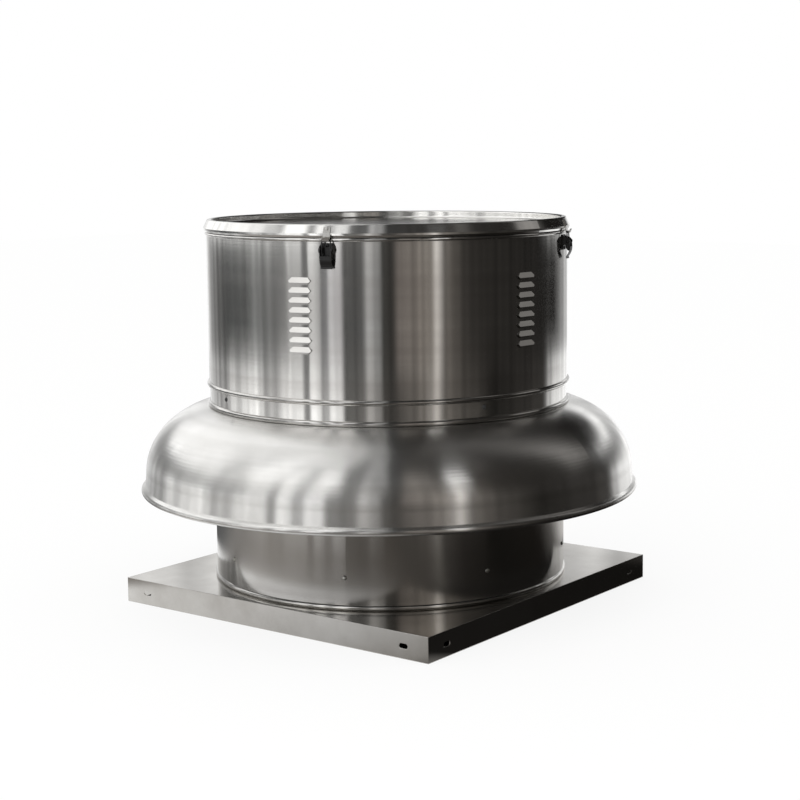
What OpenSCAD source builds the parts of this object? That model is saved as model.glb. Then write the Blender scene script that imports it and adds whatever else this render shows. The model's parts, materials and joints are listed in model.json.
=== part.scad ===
// Centrifugal roof fan with a direct-drive motor and a downward discharge.
// Air rises through the curb cap and the base drum, passes the inlet cone into the impeller,
// and leaves downwards through the ring gap between the base drum and the bell.
// The origin is the middle of the curb cap's open lower edge, +Z is up, the shaft is on the Z axis.

/* [Curb cap] */
// Side of the square curb cap
cap_side = 732; // [720:1:800]
// Height of the curb cap's skirt
cap_height = 47; // [40:1:70]
// Sheet thickness of the curb cap
cap_sheet = 2; // [1.5:0.1:3]
// Distance between the two fixing slots of one side
slot_spacing = 624; // [500:1:640]
// Width of a fixing slot
slot_width = 9; // [6:0.5:12]
// Length of a fixing slot, end to end
slot_length = 19; // [14:1:30]
// Height of the slots' centres above the lower edge
slot_height = 23; // [16:1:30]

/* [Spun sheet parts] */
// Sheet thickness of the drums, the bell and the lid
sheet = 1.5; // [1:0.1:2]
// Width of the flanges turned inwards at the ends of the base drum
flange_width = 24; // [20:1:30]

/* [Base drum] */
// Outer radius of the base drum
base_radius = 343; // [335:1:346]
// Height of the base drum above the curb cap
base_height = 175; // [165:1:190]
// How far the bead at the drum's foot stands out
foot_bead = 3; // [1:0.5:4]
// Height of the bead at the drum's foot
foot_bead_height = 9.5; // [8:0.5:12]

/* [Inlet cone] */
// Inner radius of the inlet cone's throat
throat_radius = 186; // [170:1:195]
// Radius of the rounded inlet mouth
mouth_radius = 40; // [30:1:46]

/* [Bell] */
// Largest radius of the bell, over its rolled rim
bell_radius = 486; // [470:1:500]
// Height of the rolled rim's lower side above the curb cap
bell_rim_height = 168; // [150:1:172]
// Radius of the rolled rim
rim_roll = 6.5; // [4:0.5:8]
// How far the skirt lies inside the rolled rim's outermost line
rim_step = 8; // [6:0.5:10]
// How much the skirt narrows up to the dome
skirt_draft = 2; // [0:0.5:6]
// Height of the foot of the dome above the rim's lower side
skirt_height = 40; // [36:1:60]
// Radial reach of the dome's elliptical curve
dome_reach = 153; // [140:1:170]
// Rise of the dome's elliptical curve
dome_rise = 130; // [120:1:150]

/* [Struts] */
// Number of struts between the base drum and the motor plate
strut_count = 8; // [4:1:12]
// Angle of the first strut around the shaft
strut_angle = -66; // [-80:1:-50]
// Width of a strut
strut_width = 30; // [20:1:40]
// Thickness of a strut
strut_thick = 4; // [3:0.5:6]
// Length of the foot at the top of a strut
strut_foot = 34; // [28:1:40]
// Height of the lower strut screws above the curb cap
strut_screw_height = 60; // [40:1:80]
// Distance between the two screws of a strut
strut_screw_pitch = 80; // [50:1:90]

/* [Motor plate] */
// Thickness of the motor plate
plate_thick = 3; // [2:0.5:5]
// Height of the motor plate's upturned rim
plate_rim = 36; // [30:1:38]

/* [Motor housing] */
// Outer radius of the motor housing
housing_radius = 350; // [345:1:356]
// Height of the motor housing, from the bell to its top edge
housing_height = 349; // [340:1:400]
// Height of the collar at the foot of the housing
collar_height = 38; // [36:1:50]
// How much the collar is set back from the housing
collar_step = 1.5; // [0.5:0.5:3]
// How far the beads above and below the collar stand out
collar_bead = 4.5; // [2:0.5:5]
// Height of the beads above and below the collar
collar_bead_height = 10; // [10:0.5:12]
// Number of collar screws
collar_screws_count = 4; // [3:1:8]
// Angle of the first collar screw around the shaft
collar_screw_angle = -112.5; // [-135:0.5:-90]
// Height of the collar screws above the foot of the housing
collar_screw_height = 28; // [20:1:30]

/* [Louvres] */
// Number of louvre columns around the housing
louvre_columns = 5; // [3:1:8]
// Angle of the first louvre column around the shaft
louvre_angle = -78.2; // [-90:0.2:-60]
// Number of louvres in a column
louvre_rows = 8; // [4:1:10]
// Distance between louvres
louvre_pitch = 17.7; // [15:0.1:22]
// Length of a louvre between its points
louvre_length = 44.5; // [30:0.5:60]
// Height of a louvre
louvre_height = 12.5; // [10:0.5:14]
// How far a louvre stands out at its lower lip
louvre_out = 4; // [3:0.5:6]
// Distance from the housing's top edge down to the first louvre
louvre_drop = 90; // [80:1:120]

/* [Lid] */
// Largest radius of the lid
lid_radius = 355; // [354.5:0.5:360]
// Height of the lid's rim above the housing's top edge
lid_rise = 10; // [8:0.5:16]
// Depth of the lid's skirt below the housing's top edge
lid_skirt = 13; // [11:0.5:16]
// Depth of the recessed pan inside the rim
pan_depth = 14; // [10:0.5:18]
// Width of the raised rim at its top
rim_width = 8.6; // [8:0.2:12]

/* [Latches] */
// Number of latches
latch_count = 4; // [4:1:4]
// Angle of the first latch around the shaft
latch_angle = -69.2; // [-75:0.1:-60]
// Distance from the housing's top edge down to a lever's pivot
latch_drop = 35; // [33:1:40]
// Distance of a lever's pivot from the housing's surface
pivot_out = 10; // [9:0.5:12]
// Distance between a lever's pivot and its bail holes
bail_arm = 10; // [9:0.5:12]
// Width between the outer faces of a lever
lever_width = 21.6; // [20:0.2:24]
// Sheet thickness of the latch pieces
latch_sheet = 1.3; // [1:0.1:1.6]
// Diameter of the bail wire
bail_wire = 2.4; // [2:0.1:3]
// Width of a keeper
keeper_width = 13; // [10:0.5:13]

/* [Impeller] */
// Outer radius of the impeller
impeller_radius = 290; // [270:1:300]
// Gap between the motor plate and the impeller's back plate
impeller_gap = 16; // [14:1:24]
// Width of the impeller at its outlet
outlet_width = 62; // [50:1:70]
// Number of blades
blade_count = 10; // [6:1:12]
// Thickness of a blade
blade_thick = 2.5; // [1.5:0.5:4]
// Radius of a blade's curve
blade_curve = 300; // [260:5:400]
// Blade angle at the outlet, measured from the rim
blade_angle = 35; // [30:1:45]
// Thickness of the impeller's back plate and shroud
impeller_sheet = 2.5; // [2:0.5:4]
// Radial gap between the inlet cone and the impeller's eye
eye_gap = 4.5; // [3:0.5:6]
// How far the inlet cone reaches into the impeller's eye
eye_overlap = 8; // [5:1:12]

/* [Motor] */
// Radius of the motor's mounting flange
flange_radius = 125; // [120:1:130]
// Thickness of the mounting flange
flange_thick = 12; // [10:1:16]
// Radius of the flange's bolt circle
flange_bolt_circle = 107.5; // [105:0.5:110]
// Radius of the centring spigot
spigot_radius = 90; // [80:1:95]
// Length of the motor's frame
frame_length = 200; // [180:1:240]
// Outer radius of the frame below its fins
frame_radius = 92; // [88:1:94]
// Radius over the cooling fins
fin_radius = 101; // [98:1:101]
// Number of places for cooling fins around the frame
fin_places = 32; // [24:1:36]
// Radius of the shaft's drive end
shaft_radius = 14; // [12:0.5:16]
// Length of the shaft's drive end below the flange
shaft_reach = 60; // [56:1:70]
// Length of the fan cowl above the frame's end
cowl_length = 68; // [60:1:80]

/* [Clearances] */
// Radial clearance of a running fit
running_fit = 0.05; // [0.02:0.01:0.09]
// Gap between sheet parts that slip into each other
slip_gap = 0.3; // [0.2:0.05:0.5]
// Radial clearance of a screw in its hole
screw_gap = 0.4; // [0.2:0.1:0.8]

/* [Hidden] */
$fn = 96;

// Heights of the main seats
base_top = cap_height + base_height;
rim_bottom = cap_height + bell_rim_height;
dome_foot = rim_bottom + skirt_height;
skirt_top_radius = bell_radius - rim_step - skirt_draft;
neck_radius = housing_radius + collar_bead;
dome_centre = skirt_top_radius - dome_reach;
dome_end = acos((neck_radius - dome_centre) / dome_reach);
deck = dome_foot + dome_rise * sin(dome_end);
housing_top = deck + housing_height;

// Radii that the spun parts share
base_inner = base_radius - flange_width;
collar_radius = housing_radius - collar_step;
strut_face = sqrt(pow(base_radius - sheet, 2) - pow(strut_width / 2, 2)) - slip_gap / 3;
strut_back = strut_face - strut_thick;
strut_foot_inner = strut_face - strut_foot;
strut_bend = strut_thick * 2;
strut_end_drop = 20;
cone_flange = strut_back - 3;
cone_screw_circle = (base_inner + cone_flange) / 2;
foot_rivet_circle = base_inner + flange_width * 0.4;
foot_rivet_count = 16;

// Small fasteners
screw_radius = 2.4;
screw_head = 4.6;
screw_head_height = 2.6;
bolt_radius = 4;
bolt_head = 7.5;
bolt_head_height = 5.3;
nut_height = 6.5;
motor_bolt_radius = 6;
motor_bolt_head = 10.4;
motor_bolt_head_height = 7.5;
motor_nut_height = 10;
// Keeps a flat head clear of the curved wall it sits on
head_gap = 0.05;
keeper_rivet_radius = 1.7;
keeper_rivet_head = 3;
keeper_rivet_inner = 2.1;
keeper_rivet_height = 1.2;

// Louvres and lid
louvre_top = housing_top - louvre_drop;
lid_bead_top = housing_top - lid_skirt - slip_gap;
lid_bead_height = 7;
lid_bead = 2.5;
belt = housing_top - 5.7;
rim_top = housing_top + lid_rise;
rim_lean = 7.4;
lid_slope = atan(rim_lean / (rim_top - belt));
rim_inner = lid_radius - rim_lean - rim_width;
rim_corner = 3;
rim_shoulder = lid_radius - (rim_corner + (rim_top - rim_corner - belt) * sin(lid_slope)) / cos(lid_slope);
gasket_width = 3;
pan = rim_top - pan_depth;
pan_corner = 4;
lip_width = housing_radius - rim_inner - sheet - slip_gap;

// Latch geometry, in a frame with x outwards from the housing and z upwards from the pivot
wire_radius = bail_wire / 2;
leg_place = keeper_width / 2 + slip_gap + wire_radius;
cheek_inner = leg_place + wire_radius + slip_gap;
cheek_outer = lever_width / 2;
ear_inner = cheek_outer + slip_gap;
ear_outer = ear_inner + latch_sheet;
pin_radius = 2;
pin_head = 3.2;
pin_head_height = 1.5;
latch_z = housing_top - latch_drop;
base_back = 0.15;
keeper_back = lid_radius - housing_radius + 0.2;
keeper_front = keeper_back + latch_sheet;
seat_x = keeper_front + wire_radius + slip_gap;
seat_z = 18.5;
trough = 2.65;
trough_z = seat_z + 0.5;
trough_flare = 20;
keeper_tongue = 12;
keeper_lip = 4.5;
bail_tilt = atan((pivot_out - seat_x) / (seat_z + bail_arm));
bail_length = norm([pivot_out - seat_x, seat_z + bail_arm]);
bail_bend = wire_radius + 0.25;

// Impeller heights, and the circle on which the blades' curves are centred
back_top = deck - impeller_gap;
back_bottom = back_top - impeller_sheet;
eye_radius = throat_radius + sheet + eye_gap;
throat_top = base_top + sheet + mouth_radius + 3;
eye_bottom = throat_top - eye_overlap;
shroud_curve = 30;
shroud_tilt = 5;
shroud_edge = back_bottom - outlet_width;
shroud_turn = eye_radius + shroud_curve * (1 - sin(shroud_tilt));
shroud_turn_z = shroud_edge - (impeller_radius - shroud_turn) * tan(shroud_tilt);
shroud_centre_z = shroud_turn_z - shroud_curve * cos(shroud_tilt);
blade_tip = impeller_radius - 3;
blade_root = eye_radius + 6;
blade_centre = sqrt(pow(blade_curve, 2) + pow(blade_tip, 2) - 2 * blade_curve * blade_tip * cos(blade_angle));
hub_flange = 70;
hub_flange_thick = 8;
hub_boss = 30;
hub_bolt_circle = 50;
hub_bolt_count = 6;
hub_top = back_top + 5;
washer_thick = 4;

// Motor heights
flange_bottom = deck + plate_thick;
flange_top = flange_bottom + flange_thick;
frame_top = flange_top + frame_length;
frame_bore = frame_radius - 10;
shield_thick = 10;
shield_radius = fin_radius + 1;
cowl_radius = shield_radius + slip_gap;
cowl_wall = 1.5;
cowl_top = frame_top + cowl_length;
shaft_end = flange_bottom - shaft_reach;
core_bottom = flange_top + 34;
core_top = frame_top - 36;
core_radius = 50;
air_gap = 0.5;
seat_radius = 15;
top_seat_radius = 12.5;
low_bearing = [31, 16, flange_top + 4];
top_bearing = [26, 15, frame_top - 6];
core_shaft_radius = 19;
fan_seat_radius = 11;
fan_bottom = frame_top + shield_thick + 8;
fan_height = 26;
box_out = 52;
box_width = 100;
box_height = 104;
box_wall = 3;
box_back = fin_radius - 2;
box_z = (flange_top + frame_top) / 2 - 10;
box_cover = 4;
gland_radius = 11;

// Points of an arc around [cx, cz]
function arc(cx, cz, r, from, to, n = 10) =
    [for (i = [0:n]) let (a = from + (to - from) * i / n) [cx + r * cos(a), cz + r * sin(a)]];

// Points of a round bead that stands out from a wall of radius r between two heights
function bead(r, low, high, out) =
    let (h = (high - low) / 2, rho = (h * h + out * out) / (2 * out), half = asin(min(1, h / rho)))
    arc(r + out - rho, (low + high) / 2, rho, -half, half, 8);

function unit(v) = v / norm(v);
function left(v) = [-v[1], v[0]];

// Point i of a path, moved by the distance t to the path's left with mitred corners
function beside(path, i, t) =
    let (
        last = len(path) - 1,
        before = left(unit(path[max(i, 1)] - path[max(i, 1) - 1])),
        after = left(unit(path[min(i, last - 1) + 1] - path[min(i, last - 1)])),
        m = before + after
    )
    path[i] + m * (2 * t / (m * m));

// Outline of a sheet of thickness t whose skin is the path and whose metal lies on the path's left
function sheet_outline(path, t) =
    concat(path, [for (i = [len(path) - 1:-1:0]) beside(path, i, t)]);

// A sheet part spun around the Z axis
module spun(path, t) {
    rotate_extrude() polygon(sheet_outline(path, t));
}

// A strip folded in the XZ plane, of width w along Y
module folded(path, t, w) {
    rotate([90, 0, 0]) linear_extrude(w, center = true) polygon(sheet_outline(path, t));
}

module around(count, first = 0) {
    for (i = [0:count - 1]) rotate([0, 0, first + i * 360 / count]) children();
}

module at(r, z = 0) {
    translate([r, 0, z]) children();
}

// A cylinder along +X, centred on the axis
module along_x(r, h) {
    rotate([0, 90, 0]) cylinder(r = r, h = h);
}

// A cylinder along Y, from y1 to y2
module along_y(r, y1, y2) {
    translate([0, y2, 0]) rotate([90, 0, 0]) cylinder(r = r, h = y2 - y1);
}

module tube(outer, inner, h) {
    difference() {
        cylinder(r = outer, h = h);
        translate([0, 0, -1]) cylinder(r = inner, h = h + 2);
    }
}

// A low domed head
module dome_head(r, h) {
    intersection() {
        translate([0, 0, h - (r * r + h * h) / (2 * h)]) sphere(r = (r * r + h * h) / (2 * h));
        cylinder(r = r * 2, h = h * 2);
    }
}

// A hexagonal head or nut with chamfered corners
module hexagon(r, h) {
    intersection() {
        cylinder(r = r, h = h, $fn = 6);
        translate([0, 0, -r * 0.45]) cylinder(r1 = r * 1.5, r2 = r * 0.9, h = h + r * 0.45);
    }
}

// A vertical hexagon bolt: head down at z = 0, nut from z = grip upwards
module hex_bolt(r, head_r, head_h, grip, nut_h) {
    translate([0, 0, -head_h]) mirror([0, 0, 1]) translate([0, 0, -head_h]) hexagon(head_r, head_h);
    cylinder(r = r, h = grip + nut_h + r * 0.6);
    translate([0, 0, grip]) hexagon(head_r, nut_h);
}

module curb_cap() {
    inside = cap_side - 2 * cap_sheet;
    color("#8f8f8f") difference() {
        translate([-cap_side / 2, -cap_side / 2, 0]) cube([cap_side, cap_side, cap_height]);
        translate([-inside / 2, -inside / 2, -1]) cube([inside, inside, cap_height - cap_sheet + 1]);
        cylinder(r = base_inner, h = cap_height + 1);
        around(foot_rivet_count) at(foot_rivet_circle) cylinder(r = screw_radius, h = cap_height + 1);
        around(4) for (side = [-1, 1])
            translate([cap_side / 2 - cap_sheet - 1, side * slot_spacing / 2, slot_height])
            fixing_slot(cap_sheet + 2);
    }
}

// A slot that runs along Y and is cut along +X
module fixing_slot(depth) {
    half = (slot_length - slot_width) / 2;
    for (end = [-half, half]) translate([0, end, 0]) along_x(slot_width / 2, depth);
    translate([0, -half, -slot_width / 2]) cube([depth, 2 * half, slot_width]);
}

module base_drum() {
    path = concat(
        [[base_inner, cap_height]],
        bead(base_radius, cap_height, cap_height + foot_bead_height, foot_bead),
        [[base_radius, base_top], [base_inner, base_top]]
    );
    color("#7d7a75") difference() {
        spun(path, sheet);
        around(strut_count, strut_angle) {
            translate([strut_back - slip_gap, -strut_width / 2 - slip_gap, base_top - 3])
                cube([strut_thick + 2 * slip_gap, strut_width + 2 * slip_gap, 6]);
            strut_screw_places() along_x(screw_radius + screw_gap, 20);
        }
        around(strut_count, strut_angle + 180 / strut_count)
            at(cone_screw_circle, base_top - 5) cylinder(r = screw_radius, h = 10);
        around(foot_rivet_count) at(foot_rivet_circle) cylinder(r = screw_radius, h = cap_height + 10);
    }
}

// Places of the two screws of one strut, on the strut's back face
module strut_screw_places() {
    for (step = [0, 1])
        translate([strut_back, 0, cap_height + strut_screw_height + step * strut_screw_pitch])
        children();
}

module foot_rivets() {
    color("#b5b5b5") around(foot_rivet_count) at(foot_rivet_circle) {
        translate([0, 0, cap_height + sheet]) dome_head(screw_head, screw_head_height);
        translate([0, 0, cap_height - cap_sheet]) cylinder(r = screw_radius, h = cap_sheet + sheet + 1);
        translate([0, 0, cap_height - cap_sheet]) mirror([0, 0, 1]) dome_head(screw_head, screw_head_height);
    }
}

module inlet_cone() {
    outer = throat_radius + sheet;
    top = base_top + sheet;
    path = concat(
        [[cone_flange, top]],
        arc(outer + mouth_radius, top + mouth_radius, mouth_radius, -90, -180, 14),
        [[outer, throat_top]]
    );
    color("#9a9a98") difference() {
        spun(path, sheet);
        around(strut_count, strut_angle + 180 / strut_count)
            at(cone_screw_circle, base_top - 5) cylinder(r = screw_radius, h = 10);
    }
}

module cone_screws() {
    color("#b5b5b5") around(strut_count, strut_angle + 180 / strut_count) at(cone_screw_circle) {
        translate([0, 0, base_top + sheet]) dome_head(screw_head, screw_head_height);
        translate([0, 0, base_top - sheet - 4]) cylinder(r = screw_radius, h = 2 * sheet + 5);
        translate([0, 0, base_top - sheet - 3]) hexagon(screw_head, 3);
    }
}

module struts() {
    top = deck - sheet;
    path = concat(
        [[strut_face, cap_height + strut_screw_height - strut_end_drop]],
        arc(strut_face - strut_bend, top - strut_bend, strut_bend, 0, 90, 8),
        [[strut_foot_inner, top]]
    );
    color("#a0a0a0") around(strut_count, strut_angle) difference() {
        folded(path, strut_thick, strut_width);
        strut_screw_places() along_x(screw_radius, 20);
        at(bolt_circle(), top - strut_thick - 1) cylinder(r = bolt_radius + screw_gap, h = strut_thick + 2);
    }
}

function bolt_circle() = strut_foot_inner + bolt_head + 3;

module strut_screws() {
    color("#c4c4c4") around(strut_count, strut_angle) strut_screw_places() {
        along_x(screw_radius, base_radius - strut_back + 1);
        translate([base_radius - strut_back, 0, 0]) rotate([0, 90, 0]) dome_head(screw_head, screw_head_height);
    }
}

module strut_bolts() {
    grip = strut_thick + sheet + plate_thick;
    color("#b0b0b0") around(strut_count, strut_angle)
        at(bolt_circle(), deck - sheet - strut_thick)
        hex_bolt(bolt_radius, bolt_head, bolt_head_height, grip, nut_height);
}

module bell() {
    roll = 60;
    roll_r = bell_radius - rim_roll;
    roll_z = rim_bottom + rim_roll;
    foot_r = bell_radius - rim_step;
    path = concat(
        arc(roll_r, roll_z, rim_roll, -180, roll, 20),
        [[foot_r, roll_z + rim_roll * sin(roll) + (roll_r + rim_roll * cos(roll) - foot_r) / tan(roll)]],
        [for (i = [0:28]) let (a = dome_end * i / 28)
            [dome_centre + dome_reach * cos(a), dome_foot + dome_rise * sin(a)]],
        [[strut_foot_inner, deck]]
    );
    color("#c9c9c9") difference() {
        spun(path, sheet);
        around(strut_count, strut_angle)
            at(bolt_circle(), deck - sheet - 1) cylinder(r = bolt_radius + screw_gap, h = sheet + 2);
    }
}

module motor_plate() {
    rim = collar_radius - sheet - slip_gap;
    bend = plate_thick * 2;
    path = concat(
        [[spigot_radius + running_fit, deck]],
        arc(rim - bend, deck + bend, bend, -90, 0, 8),
        [[rim, deck + plate_rim]]
    );
    color("#8c8c8c") difference() {
        spun(path, plate_thick);
        around(strut_count, strut_angle)
            at(bolt_circle(), deck - 1) cylinder(r = bolt_radius + screw_gap, h = plate_thick + 2);
        around(4, 45) at(flange_bolt_circle, deck - 1) cylinder(r = motor_bolt_radius + screw_gap, h = 20);
        around(collar_screws_count, collar_screw_angle)
            at(rim - plate_thick - 2, deck + collar_screw_height) along_x(screw_radius, 20);
    }
}

module motor_housing() {
    ring = deck + collar_height;
    path = concat(
        bead(collar_radius, deck, deck + collar_bead_height, collar_bead + collar_step - 1),
        [[collar_radius, ring]],
        bead(housing_radius, ring, ring + collar_bead_height, collar_bead),
        bead(housing_radius, lid_bead_top - lid_bead_height, lid_bead_top, lid_bead),
        [[housing_radius, housing_top], [housing_radius - lip_width, housing_top]]
    );
    color("#8a8a88") difference() {
        union() {
            spun(path, sheet);
            louvre_places() louvre_hood();
        }
        louvre_places() louvre_mouth();
        around(collar_screws_count, collar_screw_angle)
            at(collar_radius - 10, deck + collar_screw_height) along_x(screw_radius + screw_gap, 20);
        around(latch_count, latch_angle) rivet_places() along_x(screw_radius, 20);
    }
}

module louvre_places() {
    around(louvre_columns, louvre_angle)
        for (row = [0:louvre_rows - 1])
            at(housing_radius, louvre_top - row * louvre_pitch) children();
}

// The pointed outline of a louvre, drawn across Y and Z and drawn in by a margin
module louvre_outline(margin) {
    l = louvre_length / 2 - margin;
    h = louvre_height / 2 - margin / 2;
    p = l - louvre_height / 2;
    polygon([[-l, 0], [-p, h], [p, h], [l, 0], [p, -h], [-p, -h]]);
}

// The space between the housing's surface and a louvre's sloping face
module louvre_wedge(margin, back) {
    h = louvre_height / 2;
    intersection() {
        rotate([90, 0, 90]) translate([0, 0, -back]) linear_extrude(back + louvre_out + 1) louvre_outline(margin);
        rotate([90, 0, 0]) linear_extrude(louvre_length, center = true)
            polygon([[-back, h], [0.6 - margin, h], [louvre_out - margin, -h / 2], [louvre_out - margin, -h],
                [-back, -h]]);
    }
}

module louvre_hood() {
    louvre_wedge(0, sheet);
}

// The opening under a louvre: hollow behind the sloping face and open along the lower lip
module louvre_mouth() {
    louvre_wedge(1, 2 * sheet + 1);
    l = louvre_length / 2 - louvre_height / 2;
    translate([0.4, -l, -louvre_height / 2 - 1]) cube([louvre_out - 1.4, 2 * l, 3]);
}

module collar_screws() {
    color("#6f6f6f") around(collar_screws_count, collar_screw_angle) at(0, deck + collar_screw_height) {
        translate([collar_radius, 0, 0]) rotate([0, 90, 0]) dome_head(screw_head, screw_head_height);
        at(collar_radius - sheet - slip_gap - plate_thick - 2)
            along_x(screw_radius, sheet + slip_gap + plate_thick + 3);
    }
}

module lid() {
    path = concat(
        [[lid_radius - 2.5, housing_top - lid_skirt], [lid_radius - 0.7, housing_top - lid_skirt + 3.5]],
        [[lid_radius, belt]],
        arc(rim_shoulder, rim_top - rim_corner, rim_corner, lid_slope, 90, 6),
        arc(rim_inner + rim_corner, rim_top - rim_corner, rim_corner, 90, 180, 8),
        arc(rim_inner - pan_corner, pan + pan_corner, pan_corner, 0, -90, 8),
        [[0, pan]]
    );
    color("#b9b9b9") difference() {
        spun(path, sheet);
        around(latch_count, latch_angle) at(housing_radius, 0) keeper_rivet_place()
            translate([-1, 0, 0]) along_x(keeper_rivet_radius, 20);
    }
}

module lid_gasket() {
    inner = rim_inner + rim_corner + slip_gap;
    color("#202020") translate([0, 0, housing_top]) tube(inner + gasket_width, inner, rim_top - sheet - housing_top);
}

// Places of the two rivets of a latch base, inside the housing's wall
module rivet_places() {
    for (z = [8.5, -12.5]) at(housing_radius - sheet - 2, latch_z + z) children();
}

module latch_frame() {
    around(latch_count, latch_angle) at(housing_radius, latch_z) children();
}

// One latch's frame: x outwards from the housing, z upwards from the pivot
module latch_at(i) {
    rotate([0, 0, latch_angle + (i - 1) * 360 / latch_count]) at(housing_radius, latch_z) children();
}

module latch_bases() {
    color("#161616") difference() {
        latch_frame() latch_base();
        around(latch_count, latch_angle) rivet_places() along_x(screw_radius, 20);
    }
}

module latch_base() {
    translate([base_back, -ear_outer, -16]) cube([latch_sheet, 2 * ear_outer, 28.5]);
    for (side = [-1, 1]) mirror([0, side > 0 ? 0 : 1, 0]) difference() {
        translate([0, ear_outer, 0]) rotate([90, 0, 0]) linear_extrude(latch_sheet) {
            polygon([[base_back, -8], [pivot_out - 3, -6], [pivot_out + 4, -3], [pivot_out + 4, 3],
                [pivot_out, 7], [base_back, 11]]);
            translate([pivot_out, 0]) circle(r = 5);
        }
        translate([pivot_out, 0, 0]) along_y(pin_radius, ear_inner - 1, ear_outer + 1);
    }
}

module latch_rivets() {
    color("#3a3a3a") around(latch_count, latch_angle) rivet_places() {
        along_x(screw_radius, sheet + 2 + base_back + latch_sheet + 0.5);
        translate([2 - head_gap, 0, 0]) rotate([0, -90, 0]) dome_head(3.6, 1.6);
        translate([sheet + 2 + base_back + latch_sheet, 0, 0]) rotate([0, 90, 0]) dome_head(3.6, 1.6);
    }
}

module lever_pins() {
    color("#3a3a3a") latch_frame() for (side = [0, 1]) mirror([0, side, 0]) translate([pivot_out, 0, 0]) {
        along_y(pin_radius, cheek_inner, ear_outer + 0.5);
        translate([0, ear_outer, 0]) rotate([-90, 0, 0]) dome_head(pin_head, pin_head_height);
    }
}

// The finger lever in its own frame, with the pivot at the origin
module lever() {
    web = 5 - latch_sheet;
    sweep = 38;
    reach = 28;
    curl = 4;
    turn = [web - reach + reach * cos(sweep), -10 - reach * sin(sweep)];
    curl_centre = turn + curl * [cos(sweep), -sin(sweep)];
    path = concat(
        arc(web - reach, -10, reach, 0, -sweep, 8),
        arc(curl_centre[0], curl_centre[1], curl, 190 - sweep, 230, 6)
    );
    folded(path, latch_sheet, lever_width);
    for (side = [0, 1]) mirror([0, side, 0]) difference() {
        translate([0, cheek_outer, 0]) rotate([90, 0, 0]) linear_extrude(cheek_outer - cheek_inner) {
            circle(r = 5);
            polygon([[-4.5, -2], [4.5, -2], [5, -10], [4.2, -16], [1, -18], [-4, -12]]);
        }
        along_y(pin_radius + running_fit, cheek_inner - 1, cheek_outer + 1);
        translate([0, 0, -bail_arm]) along_y(wire_radius + running_fit, cheek_inner - 1, cheek_outer + 1);
    }
}

module place_lever(i) {
    color("#1b1b1b") latch_at(i) translate([pivot_out, 0, 0]) lever();
}

// The bail in its own frame, with its hinge line on Y and its legs upwards
module bail() {
    for (side = [0, 1]) mirror([0, side, 0]) {
        translate([0, leg_place, bail_bend]) cylinder(r = wire_radius, h = bail_length - 2 * bail_bend);
        translate([0, leg_place + bail_bend, bail_bend]) rotate([0, 90, 0]) rotate([0, 0, -90]) elbow();
        along_y(wire_radius, leg_place + bail_bend, cheek_outer + 0.1);
        translate([0, leg_place - bail_bend, bail_length - bail_bend])
            rotate([0, 90, 0]) rotate([0, 0, 90]) elbow();
    }
    translate([0, 0, bail_length]) along_y(wire_radius, bail_bend - leg_place, leg_place - bail_bend);
}

// A quarter bend of the bail's wire, in the first quarter of the XY plane
module elbow() {
    rotate_extrude(angle = 90) translate([bail_bend, 0]) circle(r = wire_radius);
}

module place_bail(i) {
    color("#1b1b1b") latch_at(i) translate([pivot_out, 0, -bail_arm]) rotate([0, -bail_tilt, 0]) bail();
}

// Place of the rivet that holds a keeper's tongue on the lid's sloping face
module keeper_rivet_place() {
    along = keeper_tongue * 0.7;
    translate([lid_radius - housing_radius - along * sin(lid_slope), 0, belt + along * cos(lid_slope)])
        rotate([0, -lid_slope, 0]) translate([-sheet - head_gap, 0, 0]) children();
}

module keepers() {
    grip = head_gap + sheet + slip_gap + latch_sheet;
    bend = trough + latch_sheet;
    lip_x = keeper_back + bend * (1 + cos(trough_flare));
    lip_z = latch_z + trough_z - bend * sin(trough_flare);
    lip_top = latch_z + seat_z + keeper_lip;
    path = concat(
        [[keeper_back - keeper_tongue * sin(lid_slope), belt + keeper_tongue * cos(lid_slope)], [keeper_back, belt]],
        arc(keeper_back + bend, latch_z + trough_z, bend, 180, 360 - trough_flare, 14),
        [[lip_x + (lip_top - lip_z) * tan(trough_flare), lip_top]]
    );
    color("#c8c8c8") around(latch_count, latch_angle) at(housing_radius) {
        folded(path, latch_sheet, keeper_width);
        keeper_rivet_place() {
            along_x(keeper_rivet_radius, grip + keeper_rivet_inner / 2);
            translate([grip, 0, 0]) rotate([0, 90, 0]) dome_head(keeper_rivet_head, keeper_rivet_height);
            rotate([0, -90, 0]) dome_head(keeper_rivet_inner, keeper_rivet_height * 0.7);
        }
    }
}

module motor_flange() {
    color("#4c5a63") difference() {
        union() {
            translate([0, 0, flange_bottom]) cylinder(r = flange_radius, h = flange_thick);
            translate([0, 0, flange_bottom - 3]) cylinder(r = spigot_radius, h = 5);
            translate([0, 0, flange_bottom]) cylinder(r = frame_bore - slip_gap, h = flange_thick + 6);
            translate([0, 0, flange_bottom]) cylinder(r = low_bearing[0] + 9, h = low_bearing[2] + low_bearing[1] - flange_bottom);
        }
        translate([0, 0, low_bearing[2]]) cylinder(r = low_bearing[0], h = low_bearing[1] + 10);
        translate([0, 0, flange_bottom - 5]) cylinder(r = seat_radius + 1, h = 100);
        around(4, 45) at(flange_bolt_circle, flange_bottom - 1) cylinder(r = motor_bolt_radius + screw_gap, h = 30);
    }
}

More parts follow.
